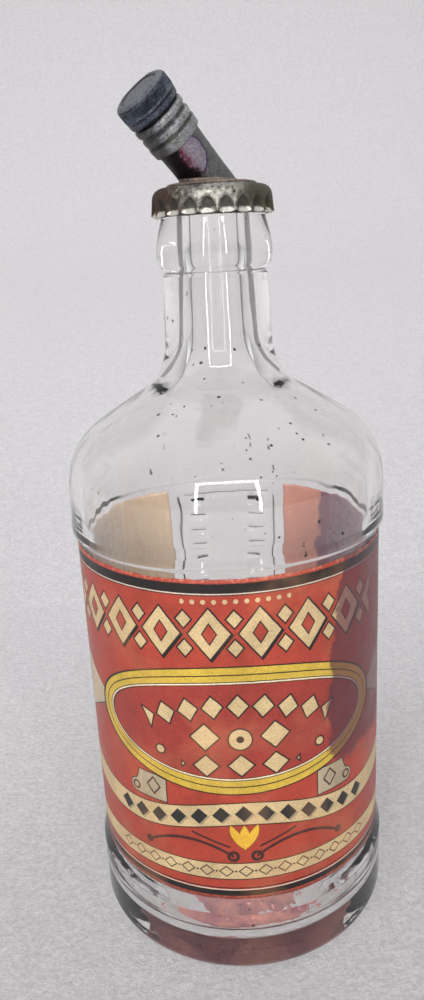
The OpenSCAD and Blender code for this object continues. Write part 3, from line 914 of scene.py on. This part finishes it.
def bottle_outline(s):
    """Outline of the glass in millimetres, from the middle of the base round to the inner floor."""
    ring, panel = s.ring_radius / MM, (s.ring_radius - s.panel_inset) / MM
    base, ridge, corner = s.base_ring / MM, s.ridge_height / MM, s.shoulder_height / MM
    slope = math.tan(s.shoulder_slope)
    top = glass_top()
    groove = top - s.finish_height / MM
    wall = ring - 0.22
    neck_z = corner + (wall - s.neck_radius / MM) * slope
    outside = [
        (0, 3, 0),
        (ring * 0.5, 2.3, 20),
        (ring * 0.78, 0.25, 3),
        (ring * 0.83, 0, 0.8),
        (ring, 0, 4),
        (ring, base, 0.9),
        (panel, base + s.base_slope / MM, 0.7),
        (panel, ridge, 0.5),
        (ring, ridge + 1.2, 0.45),
        (ring, ridge + 3.4, 2),
        (wall, ridge + 6, 4),
        (wall, corner, s.shoulder_radius / MM),
        (s.neck_radius / MM, neck_z, s.neck_fillet / MM),
        (s.neck_top_radius / MM, groove, 0.25),
        (s.groove_radius / MM, groove + 0.45, 0.2),
        (s.groove_radius / MM, groove + 1.3, 0),
    ]
    points = divided(outline_points(outside, 6), 1.3)
    low, tall = groove + 1.3, top - 4.9 - groove - 1.3
    swell = (s.swelling_radius - s.groove_radius) / MM
    for i in range(1, 25):
        t = i / 24
        rise = math.sin(math.pi * t**0.6)
        points.append(Vector((s.groove_radius / MM + swell * rise, low + tall * t)))
    lock, bore = s.lock_radius / MM, s.bore_radius / MM
    thick = s.wall / MM + 0.2
    foot_bore = s.foot_bore_radius / MM
    shift = thick / math.cos(s.shoulder_slope)
    inner_wall = wall - thick
    inner_corner = corner + thick * slope - shift
    inner_neck_z = inner_corner + (inner_wall - foot_bore) * slope
    inside_body = panel - s.wall / MM
    inside = [
        (s.groove_radius / MM, top - 4.9, 0),
        (lock, top - 3.7, 0.5),
        (lock, top, 1.4),
        (bore + 0.8, top, 0.5),
        (bore, top - 1.6, 0.8),
        (foot_bore, inner_neck_z, 17),
        (inner_wall, inner_corner, s.shoulder_radius / MM - thick),
        (inner_wall - 0.1, ridge + 6, 60),
        (inside_body, ridge - 24, 60),
        (inside_body, 5, 8),
        (0, 7, 0),
    ]
    return points + divided(outline_points(inside, 7), 2.6)[1:]


def relief_height(across, along):
    """Plain raised marks: rows of short bars beside a column of rings, from 0 to 1."""
    row = (along + 4.5) % 9.0 - 4.5
    side = abs(across)
    if side > 13.2 or along > 80:
        gap = abs(max(side - 15.0, along - 81.5)) - 0.7
    elif side < 4.2:
        gap = abs(math.hypot(across, row) - 2.7) - 0.55
    else:
        gap = max(abs(side - 9.3) - 3.3, abs(abs(row) - 1.9) - 0.55)
    height = max(0.0, min(1.0, 0.5 - gap / 0.7))
    return height * height * (3 - 2 * height)


def off_axis(v):
    """Distance of a vertex from the upright axis."""
    return math.hypot(v.co.x, v.co.y)


def make_glass(s):
    bm = bmesh.new()
    steps = 272
    verts = lathe(bm, bottle_outline(s), steps)
    close_up(bm)
    panel = s.ring_radius - s.panel_inset
    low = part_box("paper_label")[0]
    for v in verts:
        r = off_axis(v)
        if r < 1e-6:
            continue
        away = Vector((v.co.x / r, v.co.y / r, 0))
        angle = math.atan2(v.co.y, v.co.x) - math.pi / 2
        on_panel = abs(r - panel) < 0.02 * MM and low.z + 4 * MM < v.co.z
        if on_panel and abs(angle) < 0.45:
            v.co += away * s.relief * relief_height(angle * panel / MM, (v.co.z - low.z) / MM)
        elif r < panel - s.wall * 0.8 and 8 * MM < v.co.z:
            deep = min(1.0, r / (20 * MM))
            v.co += away * s.waviness * deep * noise.noise(v.co / (30 * MM))
    glass = finish_piece("glass_bottle_clear", bm, [glass_finish(s)], "bottle", "glass_bottle", 60)
    glass.visible_shadow = False
    return glass


def make_label(s):
    low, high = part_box("paper_label")
    radius = high.x - 0.16 * MM
    sweep = math.radians(label_sweep())
    bm = bmesh.new()
    rows, steps = 84, 300
    start = -math.pi / 2 - sweep / 2
    outline = [(radius / MM, (low.z + (high.z - low.z) * i / rows) / MM) for i in range(rows + 1)]
    verts = lathe(bm, outline, steps, turn=sweep)
    bmesh.ops.rotate(bm, verts=verts, cent=(0, 0, 0), matrix=Matrix.Rotation(start, 3, "Z"))
    uv = bm.loops.layers.uv.new("label")
    for face in bm.faces:
        for loop in face.loops:
            co = loop.vert.co
            turn = (math.atan2(co.y, co.x) - start + 0.01) % FULL_TURN - 0.01
            loop[uv].uv = (turn / sweep, (co.z - low.z) / (high.z - low.z))
    for v in bm.verts:
        inset = min(v.co.z - low.z, high.z - v.co.z)
        if inset < 0.1 * MM:
            ragged = noise.noise(v.co / (3 * MM)) + 0.6 * noise.noise(v.co / (0.9 * MM))
            v.co.z += 0.16 * MM * (ragged - 0.6) * (1 if v.co.z > (low.z + high.z) / 2 else -1)
    bmesh.ops.recalc_face_normals(bm, faces=bm.faces)
    middles = [(face, face.calc_center_median()) for face in bm.faces]
    outward = sum(face.normal.dot(Vector((middle.x, middle.y, 0))) for face, middle in middles)
    if outward < 0:
        bmesh.ops.reverse_faces(bm, faces=bm.faces)
    label = finish_piece(
        "label_printed", bm, [label_finish(s), paper_back_finish(s)], "bottle", "paper_label", 60
    )
    solid = label.modifiers.new("paper", "SOLIDIFY")
    solid.thickness = 0.14 * MM
    solid.offset = 1.0
    solid.material_offset = 1
    return label


def make_crown(s):
    low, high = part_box("crown_shell")
    top, edge = high.z / MM, low.z / MM
    sheet, corner = s.sheet / MM, s.corner / MM
    ridge = s.edge_radius / MM
    flat = 11.3 + corner
    hole = 7.9
    end = edge + 0.12
    outer = [(hole, top, 0), (flat, top, corner), (ridge, end, 0)]
    inner = [(ridge - sheet, end, 0), (flat - sheet, top - sheet, corner - sheet), (hole, top - sheet, 0)]
    rim = [Vector((ridge - sheet / 2, edge))]
    points = divided(outline_points(outer, 8), 0.45) + rim + divided(outline_points(inner, 8), 0.45)
    bm = bmesh.new()
    valley = bm.verts.layers.float.new("valley")
    skirt = bm.verts.layers.float.new("skirt")
    verts = lathe(bm, points, s.flutes * 16, closed=True)
    close_up(bm)
    tall = (top - corner * 0.8) - edge
    for v in verts:
        r = off_axis(v)
        t = 1 - (v.co.z / MM - edge) / tall
        if t <= 0 or r < 11 * MM:
            continue
        angle = math.atan2(v.co.y, v.co.x)
        wave = (1 + math.cos(s.flutes * angle)) / 2
        crest = wave**3.5
        hollow = 1 - crest
        deep = max(0.0, min(1.0, (t - 0.08 - 0.30 * wave) / 0.24))
        deep = deep * deep * (3 - 2 * deep)
        lip = max(0.0, (t - 0.66) / 0.34) ** 1.2
        here = flat + (ridge - flat) * t
        depth = (here - s.tuck_radius / MM) * hollow * deep * (1 - 0.62 * lip)
        away = Vector((v.co.x / r, v.co.y / r, 0))
        v[valley] = hollow * deep * max(0.0, 1 - lip * 1.6)
        v[skirt] = hollow * lip
        v.co -= away * depth * MM
        v.co.z += 0.22 * MM * crest * lip - 0.10 * MM * hollow * lip
    ripple(bm, bm.verts, 3 * MM, 0.05 * MM)
    return finish_piece("crown_tinplate", bm, [tin_finish(s)], "bottle", "crown_shell", 50)


def make_foot_plate(s):
    """Soldered sheet disc: a loft from the slanting tube's ellipse to a round rim."""
    low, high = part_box("foot_plate")
    place = spout_matrix()
    axis = place.to_3x3() @ Vector((0, 0, 1))
    origin = place.to_translation()
    lean = Vector((axis.x, axis.y, 0)).normalized()
    across = Vector((-lean.y, lean.x, 0))
    rim_r = high.x
    steps = 128

    def ellipse(height, grow):
        centre = origin + axis * ((height - origin.z) / axis.z)
        r = s.tube_radius + grow
        return [
            centre + lean * (math.cos(a) * r / axis.z) + across * (math.sin(a) * r)
            for a in (FULL_TURN * i / steps for i in range(steps))
        ]

    def circle(height, radius):
        return [
            lean * (math.cos(a) * radius) + across * (math.sin(a) * radius) + Vector((0, 0, height))
            for a in (FULL_TURN * i / steps for i in range(steps))
        ]

    def between(a, b, t):
        return [p.lerp(q, t) for p, q in zip(a, b)]

    top, under = high.z, low.z
    fillet = ellipse(top + 0.02 * MM, 0.8 * MM)
    rings = [
        ellipse(top + 0.85 * MM, -0.15 * MM),
        ellipse(top + 0.8 * MM, 0.08 * MM),
        ellipse(top + 0.35 * MM, 0.3 * MM),
        fillet,
        between(fillet, circle(top, rim_r * 0.9), 0.5),
        circle(top - 0.02 * MM, rim_r * 0.93),
        circle(top - 0.08 * MM, rim_r * 0.98),
        circle(top - 0.3 * MM, rim_r),
        circle(under + 0.15 * MM, rim_r),
        circle(under + 0.02 * MM, rim_r * 0.985),
        circle(under, rim_r * 0.93),
        ellipse(under, -0.15 * MM),
    ]
    bm = bmesh.new()
    loft(bm, rings)
    close_up(bm)
    ripple(bm, [v for v in bm.verts if v.co.z > top - 0.5 * MM], 2.5 * MM, 0.14 * MM, 3.1)
    return finish_piece("foot_plate_soldered", bm, [foot_finish()], "bottle", "foot_plate", 50)


def make_tube(s):
    foot, top_r, bore = s.tube_radius / MM, s.tube_top_radius / MM, s.bore_radius / MM
    end = s.tube_length / MM
    low, _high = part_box("spout_tube")
    points = outline_points(
        [(bore, -3, 0), (foot, -3, 0), (foot, 7, 2), (top_r, end, 0.15), (bore, end, 0.15), (bore, -3, 0)]
    )[:-1]
    bm = bmesh.new()
    lathe(bm, divided(points, 0.6), 112, closed=True)
    bm.transform(spout_matrix())
    bmesh.ops.bisect_plane(
        bm,
        geom=[*bm.verts, *bm.edges, *bm.faces],
        dist=WELD,
        plane_co=(0, 0, low.z),
        plane_no=(0, 0, 1),
        clear_inner=True,
    )
    bmesh.ops.bridge_loops(bm, edges=[e for e in bm.edges if e.is_boundary])
    close_up(bm)
    ripple(bm, bm.verts, 4 * MM, 0.10 * MM, 7.0)
    ripple(bm, bm.verts, 1.1 * MM, 0.03 * MM, 2.0)
    return finish_piece("spout_tube_stained", bm, [tube_finish(s)], "bottle", "spout_tube", 40)


def make_ferrule(s):
    tube, bore, end = s.tube_top_radius / MM + 0.05, s.bore_radius / MM, s.tube_length / MM
    start = end - s.socket / MM
    low_bead = start + s.first_bead / MM
    high_bead = low_bead + s.bead_pitch / MM
    seat = high_bead + 1.0
    lip = seat + s.neck_height / MM
    collar, bead = s.collar_radius / MM, s.bead_radius / MM + 0.05
    groove = collar - 0.35
    core = s.core_radius / MM
    corners = [
        (tube, start, 0),
        (collar - 0.1, start, 0.25),
        (collar + 0.1, start + 2.15, 0.3),
        (groove, start + 2.6, 0.2),
        (groove, low_bead - 0.95, 0.15),
        (bead, low_bead - 0.5, 0.45),
        (bead, low_bead + 0.5, 0.45),
        (groove, low_bead + 0.95, 0.15),
        (groove, high_bead - 0.95, 0.15),
        (bead, high_bead - 0.5, 0.45),
        (bead, high_bead + 0.5, 0.45),
        (groove, seat, 0.15),
        (core, seat, 0.15),
        (core, lip, 0.25),
        (bore, lip, 0.2),
        (bore, end + 0.05, 0),
        (tube, end + 0.05, 0),
    ]
    bm = bmesh.new()
    lathe(bm, divided(outline_points(corners, 12), 0.3), 144, closed=True)
    close_up(bm)
    cast = [v for v in bm.verts if v.co.z < (seat - 0.3) * MM and off_axis(v) > (tube + 0.1) * MM]
    ripple(bm, cast, 2.3 * MM, 0.16 * MM, 5.0)
    ripple(bm, cast, 0.7 * MM, 0.07 * MM, 1.0)
    thread = bmesh.new()
    thread_ridge(thread, core - 0.15, core + s.thread_depth / MM, seat + 0.675, s.pitch / MM, 2.25)
    join(bm, thread)
    bmesh.ops.recalc_face_normals(bm, faces=bm.faces)
    bm.transform(spout_matrix() @ Matrix.Rotation(thread_phase(), 4, "Z"))
    return finish_piece("spout_ferrule_cast", bm, [ferrule_finish(s)], "bottle", "spout_ferrule", 40)


def thread_phase():
    """Turn that both threads start at, so that they mesh."""
    return math.radians(50)


def join(bm, other):
    """Adds another bmesh's shape to bm."""
    mesh = bpy.data.meshes.new("part")
    other.to_mesh(mesh)
    other.free()
    bm.from_mesh(mesh)
    bpy.data.meshes.remove(mesh)


def make_cap(s):
    seat = (s.tube_length - s.socket + s.first_bead + s.bead_pitch) / MM + 1.0
    inner = seat + s.neck_height / MM + 0.9
    crown = inner + 0.7
    edge = seat + 0.45
    radius, bore = s.cap_radius / MM, s.core_radius / MM + s.thread_depth / MM + 0.3
    band_top = crown - 0.9
    band_low = band_top - 2.3
    rim = radius - 0.95
    corners = [
        (0, crown - 0.02, 0),
        (rim - 1.1, crown, 1.0),
        (rim - 0.75, crown + 0.22, 0.2),
        (rim - 0.1, crown + 0.25, 0.35),
        (radius - 0.35, crown - 0.15, 0.35),
        (radius - 0.02, band_top + 0.25, 0.2),
        (radius - 0.02, band_top + 0.05, 0.05),
        (radius - 0.02, band_low, 0.1),
        (radius - 0.10, band_low - 0.25, 0.3),
        (radius - 0.16, edge + 0.5, 0.3),
        (radius - 0.30, edge, 0.12),
        (bore, edge, 0.1),
        (bore, inner, 0.1),
        (0, inner, 0),
    ]
    bm = bmesh.new()
    verts = lathe(bm, divided(outline_points(corners, 12), 0.3), s.knurls * 4)
    close_up(bm)
    for v in verts:
        r = off_axis(v)
        z = v.co.z / MM
        if r < (bore + 0.2) * MM:
            continue
        away = Vector((v.co.x / r, v.co.y / r, 0))
        angle = math.atan2(v.co.y, v.co.x)
        share = min(1.0, max(0.0, (z - band_low) / 0.35)) * min(1.0, max(0.0, (band_top - z) / 0.2))
        v.co -= away * s.knurl_depth * share * (0.5 - 0.5 * math.cos(s.knurls * angle))
    skin = [v for v in bm.verts if off_axis(v) > (bore + 0.2) * MM or v.co.z > (inner + 0.3) * MM]
    ripple(bm, skin, 2.6 * MM, 0.10 * MM, 9.0)
    ripple(bm, skin, 0.8 * MM, 0.03 * MM, 4.0)
    thread = bmesh.new()
    thread_ridge(
        thread, bore + 0.15, bore - s.thread_depth / MM, seat + 0.675 + s.pitch / MM / 2, s.pitch / MM, 1.5
    )
    join(bm, thread)
    bmesh.ops.recalc_face_normals(bm, faces=bm.faces)
    bm.transform(spout_matrix() @ Matrix.Rotation(thread_phase(), 4, "Z"))
    return finish_piece("screw_cap_knurled", bm, [cap_finish(s)], "cap", "screw_cap", 45)


def make_ink():
    """A ragged film that follows the inner floor, with clots scattered on it."""
    reach = 23.0
    middle = Vector((0, -11.0 * MM, 0))
    wall, heel, heel_centre = 35.3, 8.0, 13.465

    def floor_height(r):
        """Height of the glass floor, which curves up into the wall."""
        if r < wall - heel - 0.4:
            return 7.0 - 2.0 * r / wall
        return heel_centre - math.sqrt(max(0.0, heel**2 - (r - wall + heel) ** 2))

    rows = 40
    bm = bmesh.new()
    section = [(reach * i / rows, 1.0) for i in range(rows)] + [(reach, 0.5)]
    section += [(reach * i / rows, 0.0) for i in range(rows - 1, -1, -1)]
    verts = lathe(bm, section, 180)
    close_up(bm)
    for v in verts:
        r, level = off_axis(v), v.co.z / MM
        angle = math.atan2(v.co.y, v.co.x)
        spot = Vector((math.cos(angle), math.sin(angle), 0))
        ragged = noise.noise(spot * 2.2) * 2.2 + noise.noise(spot * 9) * 1.3 + noise.noise(spot * 30) * 0.5
        share = r / MM / reach
        far = share * (reach - 2.0 + ragged)
        lump = 0.24 + 0.16 * noise.noise(Vector((v.co.x, v.co.y, 0)) / (2.5 * MM))
        rise = -0.08 + level * max(0.14, lump + 0.1) * (1 - share**6 * 0.5)
        place = spot * far * MM + middle
        v.co = place + Vector((0, 0, (floor_height(place.length / MM) + rise) * MM))
    dice = random.Random(11)
    for _ in range(70):
        angle = dice.gauss(-1.2, 0.9)
        r = dice.uniform(22, 32)
        size = dice.uniform(0.15, 0.75)
        level = (floor_height(r) + 0.4) * MM
        where = Matrix.Translation((r * math.cos(angle) * MM, r * math.sin(angle) * MM, level))
        shape = Matrix.Diagonal((size * MM, size * MM * dice.uniform(0.6, 1.3), size * 0.6 * MM, 1))
        bmesh.ops.create_icosphere(bm, subdivisions=2, radius=1, matrix=where @ shape)
    bmesh.ops.recalc_face_normals(bm, faces=bm.faces)
    return finish_piece("ink_residue", bm, [ink_finish()], "bottle", "dried_ink", 70)


def dress_node(node, material):
    """Gives a CAD node that stays as it is its finish."""
    piece = frame["nodes"][node]
    piece.data.materials.clear()
    piece.data.materials.append(material)


# ---------------------------------------------------------------------------
# Stage
# ---------------------------------------------------------------------------


def make_floor(s):
    """Floor that curves up into a backdrop."""
    bm = bmesh.new()
    profile = outline_points([(-3.0, 0, 0), (0.19, 0, 0.01), (1.7, 0.27, 0.9), (1.9, 3.0, 0)], 6)
    verts = [bm.verts.new((-3.0, p.x, p.y)) for p in profile]
    edges = [bm.edges.new(pair) for pair in zip(verts, verts[1:])]
    grown = bmesh.ops.extrude_edge_only(bm, edges=edges)
    moved = [g for g in grown["geom"] if isinstance(g, bmesh.types.BMVert)]
    bmesh.ops.translate(bm, verts=moved, vec=(6, 0, 0))
    bmesh.ops.recalc_face_normals(bm, faces=bm.faces)
    if bm.faces[0].normal.z < 0:
        bmesh.ops.reverse_faces(bm, faces=bm.faces)
    mesh = bpy.data.meshes.new("stage_floor")
    for face in bm.faces:
        face.smooth = True
    bm.to_mesh(mesh)
    bm.free()
    mesh.materials.append(floor_finish(s))
    floor = bpy.data.objects.new("stage_floor", mesh)
    bpy.context.scene.collection.objects.link(floor)


def add_light(name, place, target, size, power, seen=True):
    """An area light; one that isn't seen lights surfaces but makes no reflection."""
    data = bpy.data.lights.new(name, "AREA")
    data.shape = "RECTANGLE"
    data.size, data.size_y = size
    data.energy = power
    light = bpy.data.objects.new(name, data)
    light.location = place
    light.rotation_mode = "QUATERNION"
    light.rotation_quaternion = (Vector(target) - Vector(place)).to_track_quat("-Z", "Y")
    light.visible_glossy = seen
    light.visible_transmission = seen
    bpy.context.scene.collection.objects.link(light)


def make_camera(s):
    data = bpy.data.cameras.new("camera")
    data.sensor_width = 36
    data.lens = s.lens
    data.clip_start = 0.005
    camera = bpy.data.objects.new("camera", data)
    bpy.context.scene.collection.objects.link(camera)
    cos_p, sin_p = math.cos(s.pitch), math.sin(s.pitch)
    ahead = Vector((-math.sin(s.yaw) * cos_p, math.cos(s.yaw) * cos_p, -sin_p))
    right = Vector((math.cos(s.yaw), math.sin(s.yaw), 0))
    up = right.cross(ahead)
    cos_r, sin_r = math.cos(s.roll), math.sin(s.roll)
    rolled_right = right * cos_r + up * sin_r
    rolled_up = up * cos_r - right * sin_r
    turn = Matrix((rolled_right, rolled_up, -ahead)).transposed()
    camera.matrix_world = Matrix.Translation(s.eye) @ turn.to_4x4()
    bpy.context.scene.camera = camera


def make_world():
    """A studio that is bright above and behind the bottle and dark in front of it."""
    world = bpy.data.worlds.new("studio")
    bpy.context.scene.world = world
    world.use_nodes = True
    tree = world.node_tree
    coords = tree.nodes.new("ShaderNodeTexCoord")
    split = tree.nodes.new("ShaderNodeSeparateXYZ")
    tree.links.new(coords.outputs["Generated"], split.inputs[0])
    up = Field(tree, split.outputs["Z"]).max(0.0)
    back = Field(tree, split.outputs["Y"])
    power = up * 0.80 + back.between(-0.1, 0.75) * 0.60 + 0.22
    shade = tree.nodes["Background"]
    shade.inputs["Color"].default_value = (0.97, 0.97, 1.0, 1)
    tree.links.new(power.socket, shade.inputs["Strength"])


def make_lights():
    make_world()
    middle = (0, 0, 0.11)
    add_light("loop_left", (-0.30, -0.80, 0.34), middle, (0.025, 0.62), 1.6)
    add_light("loop_right", (0.34, -0.80, 0.34), middle, (0.025, 0.62), 1.6)
    add_light("loop_top", (0.02, -0.72, 0.66), middle, (0.62, 0.025), 1.6)
    add_light("key", (-0.3, -1.1, 1.6), middle, (1.5, 1.5), 26.0, seen=False)
    add_light("backdrop", (0.0, 0.5, 2.2), (0, 1.4, 0.5), (2.4, 1.0), 6.0, seen=False)


# ---------------------------------------------------------------------------
# Operators, panel and registration
# ---------------------------------------------------------------------------


class INKBOTTLE_OT_glass(bpy.types.Operator):
    """Build the clear glass bottle"""

    bl_idname = "inkbottle.glass"
    bl_label = "Glass"

    def execute(self, context):
        make_glass(context.scene.inkbottle_glass)
        return {"FINISHED"}


class INKBOTTLE_OT_label(bpy.types.Operator):
    """Build the printed paper label"""

    bl_idname = "inkbottle.label"
    bl_label = "Label"

    def execute(self, context):
        make_label(context.scene.inkbottle_label)
        return {"FINISHED"}


class INKBOTTLE_OT_crown(bpy.types.Operator):
    """Build the fluted crown and dress its cork liner"""

    bl_idname = "inkbottle.crown"
    bl_label = "Crown"

    def execute(self, context):
        make_crown(context.scene.inkbottle_crown)
        dress_node("crown_liner", cork_finish())
        return {"FINISHED"}


class INKBOTTLE_OT_spout(bpy.types.Operator):
    """Build the foot plate, the tube and the ferrule"""

    bl_idname = "inkbottle.spout"
    bl_label = "Spout"

    def execute(self, context):
        settings = context.scene.inkbottle_spout
        make_foot_plate(settings)
        make_tube(settings)
        make_ferrule(settings)
        return {"FINISHED"}


class INKBOTTLE_OT_cap(bpy.types.Operator):
    """Build the knurled screw cap and dress its seal"""

    bl_idname = "inkbottle.cap"
    bl_label = "Screw cap"

    def execute(self, context):
        make_cap(context.scene.inkbottle_spout)
        dress_node("cap_seal", leather_finish())
        return {"FINISHED"}


class INKBOTTLE_OT_ink(bpy.types.Operator):
    """Build the dried ink on the floor of the bottle"""

    bl_idname = "inkbottle.ink"
    bl_label = "Dried ink"

    def execute(self, context):
        make_ink()
        return {"FINISHED"}


class INKBOTTLE_OT_stage(bpy.types.Operator):
    """Build the floor, the lights and the camera"""

    bl_idname = "inkbottle.stage"
    bl_label = "Stage"

    def execute(self, context):
        settings = context.scene.inkbottle_stage
        context.scene.view_settings.view_transform = "Standard"
        make_floor(settings)
        make_lights()
        make_camera(settings)
        return {"FINISHED"}


STEPS = ("stage", "glass", "label", "crown", "spout", "cap", "ink")
SETTINGS = {
    "inkbottle_glass": GlassSettings,
    "inkbottle_label": LabelSettings,
    "inkbottle_crown": CrownSettings,
    "inkbottle_spout": SpoutSettings,
    "inkbottle_stage": StageSettings,
}


class INKBOTTLE_PT_panel(bpy.types.Panel):
    """Buttons and settings for the ink bottle"""

    bl_idname = "INKBOTTLE_PT_panel"
    bl_label = "Ink Bottle"
    bl_space_type = "VIEW_3D"
    bl_region_type = "UI"
    bl_category = "Ink Bottle"

    def draw(self, context):
        for step in STEPS:
            self.layout.operator(f"inkbottle.{step}")
        for group, settings in SETTINGS.items():
            box = self.layout.box()
            for field in settings.__annotations__:
                box.prop(getattr(context.scene, group), field)


CLASSES = (
    *SETTINGS.values(),
    INKBOTTLE_OT_glass,
    INKBOTTLE_OT_label,
    INKBOTTLE_OT_crown,
    INKBOTTLE_OT_spout,
    INKBOTTLE_OT_cap,
    INKBOTTLE_OT_ink,
    INKBOTTLE_OT_stage,
    INKBOTTLE_PT_panel,
)


def register():
    for cls in CLASSES:
        bpy.utils.register_class(cls)
    for group, settings in SETTINGS.items():
        setattr(bpy.types.Scene, group, PointerProperty(type=settings))


def unregister():
    for group in SETTINGS:
        delattr(bpy.types.Scene, group)
    for cls in reversed(CLASSES):
        bpy.utils.unregister_class(cls)


def main():
    register()
    for step in STEPS:
        getattr(bpy.ops.inkbottle, step)()


if __name__ == "__main__":
    main()
